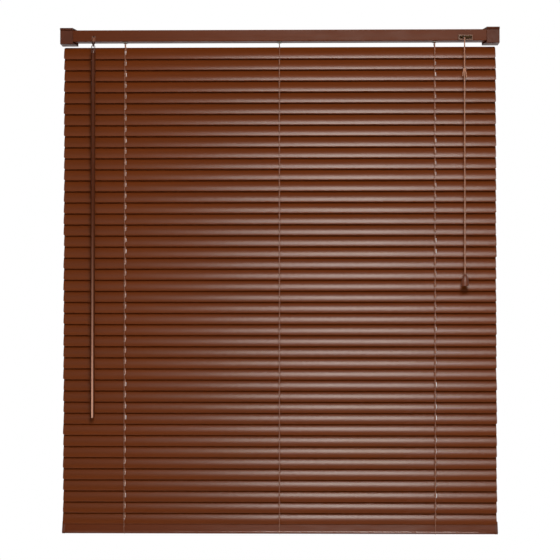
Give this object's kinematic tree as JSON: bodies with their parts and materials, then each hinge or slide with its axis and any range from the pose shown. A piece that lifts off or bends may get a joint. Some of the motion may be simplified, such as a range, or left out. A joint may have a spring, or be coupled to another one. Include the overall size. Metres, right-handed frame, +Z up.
{
  "type": "venetian blind",
  "caption": "Horizontal venetian blind with narrow crowned slats on string ladders, a headrail with tilt rod, a twist wand, a cord lock with pull cord and tassel, and end brackets.",
  "frame": {"origin": "on the top fixing face of the two end brackets, midway between them and above the tilt rod", "axes": "+X to the right along the slats as seen from the room, +Y away from the room, +Z up"},
  "size_m": [0.852, 0.0456, 0.9806],
  "materials": {
    "slat_plastic": "satin brown",
    "headrail_paint": "satin brown paint",
    "bracket_plastic": "brown",
    "rod_steel": "plain",
    "mechanism_plastic": "grey",
    "tilter_stem_plastic": "dark brown",
    "wand_plastic": "brown",
    "lock_metal": "brown paint",
    "roller_brass": "turned",
    "ladder_cord": "string",
    "pull_cord": "braided",
    "tassel_plastic": "brown",
    "bottom_rail_plastic": "satin brown"
  },
  "bodies": {
    "headrail": {"headrail": "headrail_paint", "end_brackets": "bracket_plastic", "drum_cradles": "mechanism_plastic", "tilter_housing": "mechanism_plastic", "cord_lock_case": "lock_metal", "ladders_and_lift_cords": "ladder_cord", "pull_cord": "pull_cord", "tassel": "tassel_plastic"},
    "door_left": {"bracket_door_left": "bracket_plastic"},
    "door_right": {"bracket_door_right": "bracket_plastic"},
    "wand": {"wand": "wand_plastic"},
    "worm": {"tilter_worm": "tilter_stem_plastic"},
    "tilt_rod": {"tilt_rod": "rod_steel", "tilter_gear": "mechanism_plastic", "ladder_drums": "mechanism_plastic"},
    "lock_roller": {"cord_lock_roller": "roller_brass"},
    "bottom_rail": {"bottom_rail": "bottom_rail_plastic"},
    "slat_01": {"slat_01": "slat_plastic"},
    "slat_02": {"slat_02": "slat_plastic"},
    "slat_03": {"slat_03": "slat_plastic"},
    "slat_04": {"slat_04": "slat_plastic"},
    "slat_05": {"slat_05": "slat_plastic"},
    "slat_06": {"slat_06": "slat_plastic"},
    "slat_07": {"slat_07": "slat_plastic"},
    "slat_08": {"slat_08": "slat_plastic"},
    "slat_09": {"slat_09": "slat_plastic"},
    "slat_10": {"slat_10": "slat_plastic"},
    "slat_11": {"slat_11": "slat_plastic"},
    "slat_12": {"slat_12": "slat_plastic"},
    "slat_13": {"slat_13": "slat_plastic"},
    "slat_14": {"slat_14": "slat_plastic"},
    "slat_15": {"slat_15": "slat_plastic"},
    "slat_16": {"slat_16": "slat_plastic"},
    "slat_17": {"slat_17": "slat_plastic"},
    "slat_18": {"slat_18": "slat_plastic"},
    "slat_19": {"slat_19": "slat_plastic"},
    "slat_20": {"slat_20": "slat_plastic"},
    "slat_21": {"slat_21": "slat_plastic"},
    "slat_22": {"slat_22": "slat_plastic"},
    "slat_23": {"slat_23": "slat_plastic"},
    "slat_24": {"slat_24": "slat_plastic"},
    "slat_25": {"slat_25": "slat_plastic"},
    "slat_26": {"slat_26": "slat_plastic"},
    "slat_27": {"slat_27": "slat_plastic"},
    "slat_28": {"slat_28": "slat_plastic"},
    "slat_29": {"slat_29": "slat_plastic"},
    "slat_30": {"slat_30": "slat_plastic"},
    "slat_31": {"slat_31": "slat_plastic"},
    "slat_32": {"slat_32": "slat_plastic"},
    "slat_33": {"slat_33": "slat_plastic"},
    "slat_34": {"slat_34": "slat_plastic"},
    "slat_35": {"slat_35": "slat_plastic"},
    "slat_36": {"slat_36": "slat_plastic"},
    "slat_37": {"slat_37": "slat_plastic"},
    "slat_38": {"slat_38": "slat_plastic"},
    "slat_39": {"slat_39": "slat_plastic"},
    "slat_40": {"slat_40": "slat_plastic"},
    "slat_41": {"slat_41": "slat_plastic"},
    "slat_42": {"slat_42": "slat_plastic"},
    "slat_43": {"slat_43": "slat_plastic"}
  },
  "joints": [
    {"name": "wand_spin", "type": "hinge", "parent": "headrail", "child": "wand", "pos_m": [-0.361, -0.01842, -0.0351], "axis": [0, 0, -1], "range_deg": [0, 3098.73], "deforming": ["ladders_and_lift_cords"]},
    {"name": "worm_spin", "type": "hinge", "parent": "headrail", "child": "worm", "pos_m": [-0.361, -0.00743, -0.01154], "axis": [0, -0.4226, -0.9063], "range_deg": [0, 3098.73]},
    {"name": "rod_turn", "type": "hinge", "parent": "headrail", "child": "tilt_rod", "pos_m": [0, 0, -0.015], "axis": [-1, 0, 0], "range_deg": [0, 193.67]},
    {"name": "slat_01_tilt", "type": "hinge", "parent": "headrail", "child": "slat_01", "pos_m": [0, 0, -0.0468], "axis": [-1, 0, 0], "range_deg": [0, 140]},
    {"name": "slat_02_tilt", "type": "hinge", "parent": "headrail", "child": "slat_02", "pos_m": [0, 0, -0.0683], "axis": [-1, 0, 0], "range_deg": [0, 140]},
    {"name": "slat_03_tilt", "type": "hinge", "parent": "headrail", "child": "slat_03", "pos_m": [0, 0, -0.0898], "axis": [-1, 0, 0], "range_deg": [0, 140]},
    {"name": "slat_04_tilt", "type": "hinge", "parent": "headrail", "child": "slat_04", "pos_m": [0, 0, -0.1113], "axis": [-1, 0, 0], "range_deg": [0, 140]},
    {"name": "slat_05_tilt", "type": "hinge", "parent": "headrail", "child": "slat_05", "pos_m": [0, 0, -0.1328], "axis": [-1, 0, 0], "range_deg": [0, 140]},
    {"name": "slat_06_tilt", "type": "hinge", "parent": "headrail", "child": "slat_06", "pos_m": [0, 0, -0.1543], "axis": [-1, 0, 0], "range_deg": [0, 140]},
    {"name": "slat_07_tilt", "type": "hinge", "parent": "headrail", "child": "slat_07", "pos_m": [0, 0, -0.1758], "axis": [-1, 0, 0], "range_deg": [0, 140]},
    {"name": "slat_08_tilt", "type": "hinge", "parent": "headrail", "child": "slat_08", "pos_m": [0, 0, -0.1973], "axis": [-1, 0, 0], "range_deg": [0, 140]},
    {"name": "slat_09_tilt", "type": "hinge", "parent": "headrail", "child": "slat_09", "pos_m": [0, 0, -0.2188], "axis": [-1, 0, 0], "range_deg": [0, 140]},
    {"name": "slat_10_tilt", "type": "hinge", "parent": "headrail", "child": "slat_10", "pos_m": [0, 0, -0.2403], "axis": [-1, 0, 0], "range_deg": [0, 140]},
    {"name": "slat_11_tilt", "type": "hinge", "parent": "headrail", "child": "slat_11", "pos_m": [0, 0, -0.2618], "axis": [-1, 0, 0], "range_deg": [0, 140]},
    {"name": "slat_12_tilt", "type": "hinge", "parent": "headrail", "child": "slat_12", "pos_m": [0, 0, -0.2833], "axis": [-1, 0, 0], "range_deg": [0, 140]},
    {"name": "slat_13_tilt", "type": "hinge", "parent": "headrail", "child": "slat_13", "pos_m": [0, 0, -0.3048], "axis": [-1, 0, 0], "range_deg": [0, 140]},
    {"name": "slat_14_tilt", "type": "hinge", "parent": "headrail", "child": "slat_14", "pos_m": [0, 0, -0.3263], "axis": [-1, 0, 0], "range_deg": [0, 140]},
    {"name": "slat_15_tilt", "type": "hinge", "parent": "headrail", "child": "slat_15", "pos_m": [0, 0, -0.3478], "axis": [-1, 0, 0], "range_deg": [0, 140]},
    {"name": "slat_16_tilt", "type": "hinge", "parent": "headrail", "child": "slat_16", "pos_m": [0, 0, -0.3693], "axis": [-1, 0, 0], "range_deg": [0, 140]},
    {"name": "slat_17_tilt", "type": "hinge", "parent": "headrail", "child": "slat_17", "pos_m": [0, 0, -0.3908], "axis": [-1, 0, 0], "range_deg": [0, 140]},
    {"name": "slat_18_tilt", "type": "hinge", "parent": "headrail", "child": "slat_18", "pos_m": [0, 0, -0.4123], "axis": [-1, 0, 0], "range_deg": [0, 140]},
    {"name": "slat_19_tilt", "type": "hinge", "parent": "headrail", "child": "slat_19", "pos_m": [0, 0, -0.4338], "axis": [-1, 0, 0], "range_deg": [0, 140]},
    {"name": "slat_20_tilt", "type": "hinge", "parent": "headrail", "child": "slat_20", "pos_m": [0, 0, -0.4553], "axis": [-1, 0, 0], "range_deg": [0, 140]},
    {"name": "slat_21_tilt", "type": "hinge", "parent": "headrail", "child": "slat_21", "pos_m": [0, 0, -0.4768], "axis": [-1, 0, 0], "range_deg": [0, 140]},
    {"name": "slat_22_tilt", "type": "hinge", "parent": "headrail", "child": "slat_22", "pos_m": [0, 0, -0.4983], "axis": [-1, 0, 0], "range_deg": [0, 140]},
    {"name": "slat_23_tilt", "type": "hinge", "parent": "headrail", "child": "slat_23", "pos_m": [0, 0, -0.5198], "axis": [-1, 0, 0], "range_deg": [0, 140]},
    {"name": "slat_24_tilt", "type": "hinge", "parent": "headrail", "child": "slat_24", "pos_m": [0, 0, -0.5413], "axis": [-1, 0, 0], "range_deg": [0, 140]},
    {"name": "slat_25_tilt", "type": "hinge", "parent": "headrail", "child": "slat_25", "pos_m": [0, 0, -0.5628], "axis": [-1, 0, 0], "range_deg": [0, 140]},
    {"name": "slat_26_tilt", "type": "hinge", "parent": "headrail", "child": "slat_26", "pos_m": [0, 0, -0.5843], "axis": [-1, 0, 0], "range_deg": [0, 140]},
    {"name": "slat_27_tilt", "type": "hinge", "parent": "headrail", "child": "slat_27", "pos_m": [0, 0, -0.6058], "axis": [-1, 0, 0], "range_deg": [0, 140]},
    {"name": "slat_28_tilt", "type": "hinge", "parent": "headrail", "child": "slat_28", "pos_m": [0, 0, -0.6273], "axis": [-1, 0, 0], "range_deg": [0, 140]},
    {"name": "slat_29_tilt", "type": "hinge", "parent": "headrail", "child": "slat_29", "pos_m": [0, 0, -0.6488], "axis": [-1, 0, 0], "range_deg": [0, 140]},
    {"name": "slat_30_tilt", "type": "hinge", "parent": "headrail", "child": "slat_30", "pos_m": [0, 0, -0.6703], "axis": [-1, 0, 0], "range_deg": [0, 140]},
    {"name": "slat_31_tilt", "type": "hinge", "parent": "headrail", "child": "slat_31", "pos_m": [0, 0, -0.6918], "axis": [-1, 0, 0], "range_deg": [0, 140]},
    {"name": "slat_32_tilt", "type": "hinge", "parent": "headrail", "child": "slat_32", "pos_m": [0, 0, -0.7133], "axis": [-1, 0, 0], "range_deg": [0, 140]},
    {"name": "slat_33_tilt", "type": "hinge", "parent": "headrail", "child": "slat_33", "pos_m": [0, 0, -0.7348], "axis": [-1, 0, 0], "range_deg": [0, 140]},
    {"name": "slat_34_tilt", "type": "hinge", "parent": "headrail", "child": "slat_34", "pos_m": [0, 0, -0.7563], "axis": [-1, 0, 0], "range_deg": [0, 140]},
    {"name": "slat_35_tilt", "type": "hinge", "parent": "headrail", "child": "slat_35", "pos_m": [0, 0, -0.7778], "axis": [-1, 0, 0], "range_deg": [0, 140]},
    {"name": "slat_36_tilt", "type": "hinge", "parent": "headrail", "child": "slat_36", "pos_m": [0, 0, -0.7993], "axis": [-1, 0, 0], "range_deg": [0, 140]},
    {"name": "slat_37_tilt", "type": "hinge", "parent": "headrail", "child": "slat_37", "pos_m": [0, 0, -0.8208], "axis": [-1, 0, 0], "range_deg": [0, 140]},
    {"name": "slat_38_tilt", "type": "hinge", "parent": "headrail", "child": "slat_38", "pos_m": [0, 0, -0.8423], "axis": [-1, 0, 0], "range_deg": [0, 140]},
    {"name": "slat_39_tilt", "type": "hinge", "parent": "headrail", "child": "slat_39", "pos_m": [0, 0, -0.8638], "axis": [-1, 0, 0], "range_deg": [0, 140]},
    {"name": "slat_40_tilt", "type": "hinge", "parent": "headrail", "child": "slat_40", "pos_m": [0, 0, -0.8853], "axis": [-1, 0, 0], "range_deg": [0, 140]},
    {"name": "slat_41_tilt", "type": "hinge", "parent": "headrail", "child": "slat_41", "pos_m": [0, 0, -0.9068], "axis": [-1, 0, 0], "range_deg": [0, 140]},
    {"name": "slat_42_tilt", "type": "hinge", "parent": "headrail", "child": "slat_42", "pos_m": [0, 0, -0.9283], "axis": [-1, 0, 0], "range_deg": [0, 140]},
    {"name": "slat_43_tilt", "type": "hinge", "parent": "headrail", "child": "slat_43", "pos_m": [0, 0, -0.9498], "axis": [-1, 0, 0], "range_deg": [0, 140]},
    {"name": "bottom_rail_tilt", "type": "hinge", "parent": "headrail", "child": "bottom_rail", "pos_m": [0, 0, -0.9688], "axis": [-1, 0, 0], "range_deg": [0, 140]},
    {"name": "door_left_swing", "type": "hinge", "parent": "headrail", "child": "door_left", "pos_m": [-0.4135, -0.0153, -0.0023], "axis": [-1, 0, 0], "range_deg": [0, 90]},
    {"name": "door_right_swing", "type": "hinge", "parent": "headrail", "child": "door_right", "pos_m": [0.4135, -0.0153, -0.0023], "axis": [-1, 0, 0], "range_deg": [0, 90]},
    {"name": "roller_slide", "type": "slide", "parent": "headrail", "child": "lock_roller", "axis": [0, 0.6018, 0.7986], "range_m": [0, 0.004]}
  ],
  "couplings": [
    {"joint": "worm_spin", "follows": "wand_spin", "ratio": 1},
    {"joint": "rod_turn", "follows": "wand_spin", "ratio": 0.0625},
    {"joint": "slat_01_tilt", "follows": "wand_spin", "ratio": 0.04518},
    {"joint": "slat_02_tilt", "follows": "wand_spin", "ratio": 0.04518},
    {"joint": "slat_03_tilt", "follows": "wand_spin", "ratio": 0.04518},
    {"joint": "slat_04_tilt", "follows": "wand_spin", "ratio": 0.04518},
    {"joint": "slat_05_tilt", "follows": "wand_spin", "ratio": 0.04518},
    {"joint": "slat_06_tilt", "follows": "wand_spin", "ratio": 0.04518},
    {"joint": "slat_07_tilt", "follows": "wand_spin", "ratio": 0.04518},
    {"joint": "slat_08_tilt", "follows": "wand_spin", "ratio": 0.04518},
    {"joint": "slat_09_tilt", "follows": "wand_spin", "ratio": 0.04518},
    {"joint": "slat_10_tilt", "follows": "wand_spin", "ratio": 0.04518},
    {"joint": "slat_11_tilt", "follows": "wand_spin", "ratio": 0.04518},
    {"joint": "slat_12_tilt", "follows": "wand_spin", "ratio": 0.04518},
    {"joint": "slat_13_tilt", "follows": "wand_spin", "ratio": 0.04518},
    {"joint": "slat_14_tilt", "follows": "wand_spin", "ratio": 0.04518},
    {"joint": "slat_15_tilt", "follows": "wand_spin", "ratio": 0.04518},
    {"joint": "slat_16_tilt", "follows": "wand_spin", "ratio": 0.04518},
    {"joint": "slat_17_tilt", "follows": "wand_spin", "ratio": 0.04518},
    {"joint": "slat_18_tilt", "follows": "wand_spin", "ratio": 0.04518},
    {"joint": "slat_19_tilt", "follows": "wand_spin", "ratio": 0.04518},
    {"joint": "slat_20_tilt", "follows": "wand_spin", "ratio": 0.04518},
    {"joint": "slat_21_tilt", "follows": "wand_spin", "ratio": 0.04518},
    {"joint": "slat_22_tilt", "follows": "wand_spin", "ratio": 0.04518},
    {"joint": "slat_23_tilt", "follows": "wand_spin", "ratio": 0.04518},
    {"joint": "slat_24_tilt", "follows": "wand_spin", "ratio": 0.04518},
    {"joint": "slat_25_tilt", "follows": "wand_spin", "ratio": 0.04518},
    {"joint": "slat_26_tilt", "follows": "wand_spin", "ratio": 0.04518},
    {"joint": "slat_27_tilt", "follows": "wand_spin", "ratio": 0.04518},
    {"joint": "slat_28_tilt", "follows": "wand_spin", "ratio": 0.04518},
    {"joint": "slat_29_tilt", "follows": "wand_spin", "ratio": 0.04518},
    {"joint": "slat_30_tilt", "follows": "wand_spin", "ratio": 0.04518},
    {"joint": "slat_31_tilt", "follows": "wand_spin", "ratio": 0.04518},
    {"joint": "slat_32_tilt", "follows": "wand_spin", "ratio": 0.04518},
    {"joint": "slat_33_tilt", "follows": "wand_spin", "ratio": 0.04518},
    {"joint": "slat_34_tilt", "follows": "wand_spin", "ratio": 0.04518},
    {"joint": "slat_35_tilt", "follows": "wand_spin", "ratio": 0.04518},
    {"joint": "slat_36_tilt", "follows": "wand_spin", "ratio": 0.04518},
    {"joint": "slat_37_tilt", "follows": "wand_spin", "ratio": 0.04518},
    {"joint": "slat_38_tilt", "follows": "wand_spin", "ratio": 0.04518},
    {"joint": "slat_39_tilt", "follows": "wand_spin", "ratio": 0.04518},
    {"joint": "slat_40_tilt", "follows": "wand_spin", "ratio": 0.04518},
    {"joint": "slat_41_tilt", "follows": "wand_spin", "ratio": 0.04518},
    {"joint": "slat_42_tilt", "follows": "wand_spin", "ratio": 0.04518},
    {"joint": "slat_43_tilt", "follows": "wand_spin", "ratio": 0.04518},
    {"joint": "bottom_rail_tilt", "follows": "wand_spin", "ratio": 0.04518}
  ]
}
